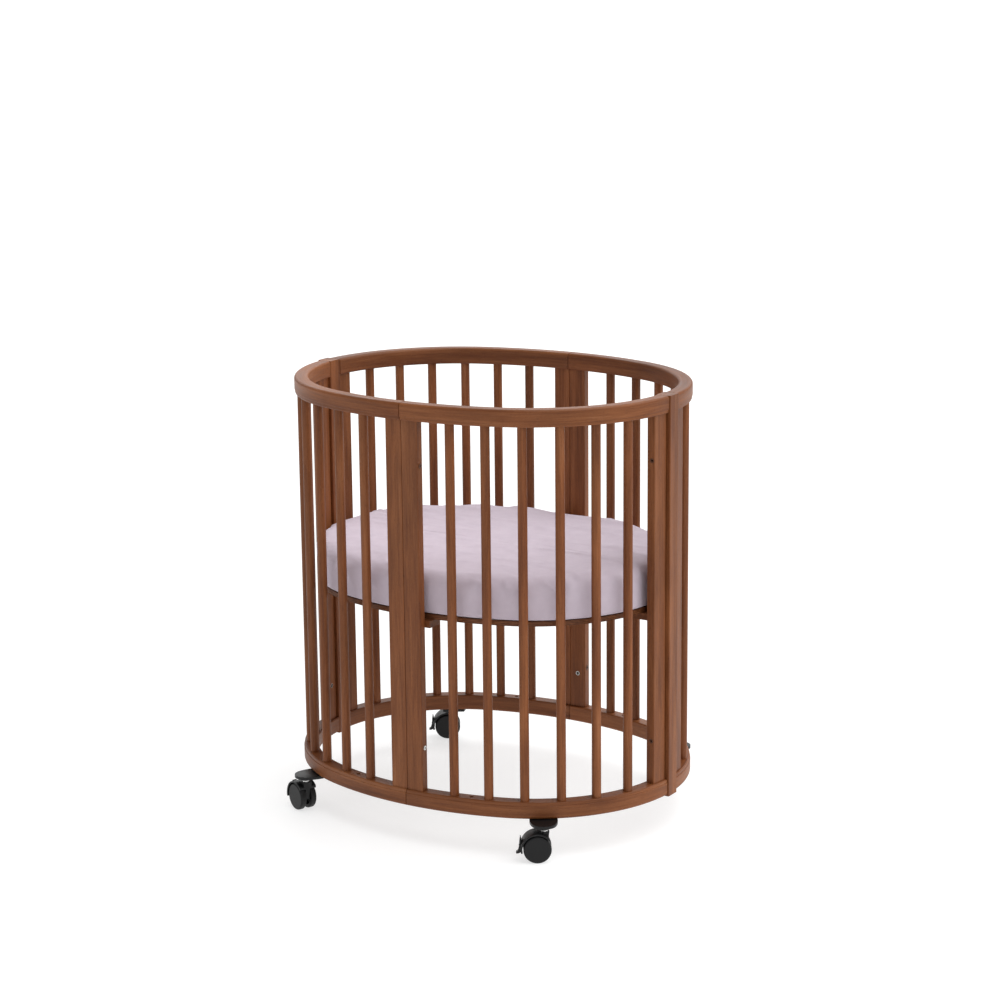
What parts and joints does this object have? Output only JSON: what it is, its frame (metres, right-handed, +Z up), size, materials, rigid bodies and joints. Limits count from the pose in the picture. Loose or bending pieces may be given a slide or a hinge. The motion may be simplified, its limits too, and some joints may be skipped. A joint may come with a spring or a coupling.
{
  "type": "baby crib",
  "caption": "Oval mini crib of stained beech: round spindles between bent rails, a raised mattress with a fitted sheet, and braked twin-wheel castors.",
  "frame": {"origin": "on the floor, under the middle of the oval", "axes": "+Z up, +X along the oval's long axis, +Y across it"},
  "size_m": [0.8166, 0.6474, 0.8655],
  "materials": {
    "stained_beech": "satin walnut stain",
    "raw_beech": "raw",
    "plywood": "satin walnut stain",
    "bright_steel": "bright",
    "mattress_cover": "plain weave",
    "sheet_cotton": "lilac knitted cotton",
    "black_plastic": "fine moulded grain",
    "black_wheel": "satin"
  },
  "bodies": {
    "frame": {"top_rail_front_right": "stained_beech", "top_rail_front_left": "stained_beech", "top_rail_back_right": "stained_beech", "top_rail_back_left": "stained_beech", "bottom_rail_front_right": "stained_beech", "bottom_rail_front_left": "stained_beech", "bottom_rail_back_right": "stained_beech", "bottom_rail_back_left": "stained_beech", "spindles_front_right": "stained_beech", "spindles_front_left": "stained_beech", "spindles_back_right": "stained_beech", "spindles_back_left": "stained_beech", "board_front_right": "stained_beech", "board_front_left": "stained_beech", "board_back_right": "stained_beech", "board_back_left": "stained_beech", "tip_board_right": "stained_beech", "tip_board_left": "stained_beech", "tip_post_right": "stained_beech", "tip_post_left": "stained_beech", "board_dowels": "raw_beech", "section_bolts": "bright_steel", "section_nuts": "bright_steel", "mattress_base": "plywood", "base_cleats": "stained_beech", "base_screws": "bright_steel", "base_bolts": "bright_steel", "base_inserts": "bright_steel", "castor_bracket_front": "black_plastic", "castor_bracket_right": "black_plastic", "castor_bracket_back": "black_plastic", "castor_bracket_left": "black_plastic", "castor_stem_front": "bright_steel", "castor_stem_right": "bright_steel", "castor_stem_back": "bright_steel", "castor_stem_left": "bright_steel", "bracket_screws": "bright_steel"},
    "mattress": {"mattress": "mattress_cover", "fitted_sheet": "sheet_cotton"},
    "castor_front": {"castor_hood_front": "black_plastic", "castor_axle_front": "bright_steel"},
    "wheel_inner_front": {"wheel_inner_front": "black_wheel"},
    "wheel_outer_front": {"wheel_outer_front": "black_wheel"},
    "brake_front": {"brake_lever_front": "black_plastic"},
    "castor_right": {"castor_hood_right": "black_plastic", "castor_axle_right": "bright_steel"},
    "wheel_inner_right": {"wheel_inner_right": "black_wheel"},
    "wheel_outer_right": {"wheel_outer_right": "black_wheel"},
    "brake_right": {"brake_lever_right": "black_plastic"},
    "castor_back": {"castor_hood_back": "black_plastic", "castor_axle_back": "bright_steel"},
    "wheel_inner_back": {"wheel_inner_back": "black_wheel"},
    "wheel_outer_back": {"wheel_outer_back": "black_wheel"},
    "brake_back": {"brake_lever_back": "black_plastic"},
    "castor_left": {"castor_hood_left": "black_plastic", "castor_axle_left": "bright_steel"},
    "wheel_inner_left": {"wheel_inner_left": "black_wheel"},
    "wheel_outer_left": {"wheel_outer_left": "black_wheel"},
    "brake_left": {"brake_lever_left": "black_plastic"}
  },
  "joints": [
    {"name": "mattress_lift", "type": "slide", "parent": "frame", "child": "mattress", "axis": [0, 0, 1], "range_m": [0, 0.45]},
    {"name": "swivel_front", "type": "hinge", "parent": "frame", "child": "castor_front", "pos_m": [0.27918, -0.27168, 0.06], "axis": [0, 0, 1], "continuous": true},
    {"name": "roll_inner_front", "type": "hinge", "parent": "castor_front", "child": "wheel_inner_front", "pos_m": [0.26827, -0.27876, 0.027], "axis": [-0.5446, 0.8387, 0], "continuous": true},
    {"name": "roll_outer_front", "type": "hinge", "parent": "castor_front", "child": "wheel_outer_front", "pos_m": [0.26827, -0.27876, 0.027], "axis": [-0.5446, 0.8387, 0], "continuous": true},
    {"name": "brake_front", "type": "hinge", "parent": "castor_front", "child": "brake_front", "pos_m": [0.24186, -0.29592, 0.03], "axis": [0.5446, -0.8387, 0], "range_deg": [0, 14]},
    {"name": "swivel_right", "type": "hinge", "parent": "frame", "child": "castor_right", "pos_m": [0.27918, 0.27168, 0.06], "axis": [0, 0, 1], "continuous": true},
    {"name": "roll_inner_right", "type": "hinge", "parent": "castor_right", "child": "wheel_inner_right", "pos_m": [0.2677, 0.26558, 0.027], "axis": [-0.4695, 0.8829, 0], "continuous": true},
    {"name": "roll_outer_right", "type": "hinge", "parent": "castor_right", "child": "wheel_outer_right", "pos_m": [0.2677, 0.26558, 0.027], "axis": [-0.4695, 0.8829, 0], "continuous": true},
    {"name": "brake_right", "type": "hinge", "parent": "castor_right", "child": "brake_right", "pos_m": [0.23989, 0.25079, 0.03], "axis": [0.4695, -0.8829, 0], "range_deg": [0, 14]},
    {"name": "swivel_back", "type": "hinge", "parent": "frame", "child": "castor_back", "pos_m": [-0.27918, 0.27168, 0.06], "axis": [0, 0, 1], "continuous": true},
    {"name": "roll_inner_back", "type": "hinge", "parent": "castor_back", "child": "wheel_inner_back", "pos_m": [-0.29008, 0.2646, 0.027], "axis": [-0.5446, 0.8387, 0], "continuous": true},
    {"name": "roll_outer_back", "type": "hinge", "parent": "castor_back", "child": "wheel_outer_back", "pos_m": [-0.29008, 0.2646, 0.027], "axis": [-0.5446, 0.8387, 0], "continuous": true},
    {"name": "brake_back", "type": "hinge", "parent": "castor_back", "child": "brake_back", "pos_m": [-0.3165, 0.24745, 0.03], "axis": [0.5446, -0.8387, 0], "range_deg": [0, 14]},
    {"name": "swivel_left", "type": "hinge", "parent": "frame", "child": "castor_left", "pos_m": [-0.27918, -0.27168, 0.06], "axis": [0, 0, 1], "continuous": true},
    {"name": "roll_inner_left", "type": "hinge", "parent": "castor_left", "child": "wheel_inner_left", "pos_m": [-0.29105, -0.2664, 0.027], "axis": [0.4067, 0.9135, 0], "continuous": true},
    {"name": "roll_outer_left", "type": "hinge", "parent": "castor_left", "child": "wheel_outer_left", "pos_m": [-0.29105, -0.2664, 0.027], "axis": [0.4067, 0.9135, 0], "continuous": true},
    {"name": "brake_left", "type": "hinge", "parent": "castor_left", "child": "brake_left", "pos_m": [-0.31983, -0.25358, 0.03], "axis": [-0.4067, -0.9135, 0], "range_deg": [0, 14]}
  ]
}
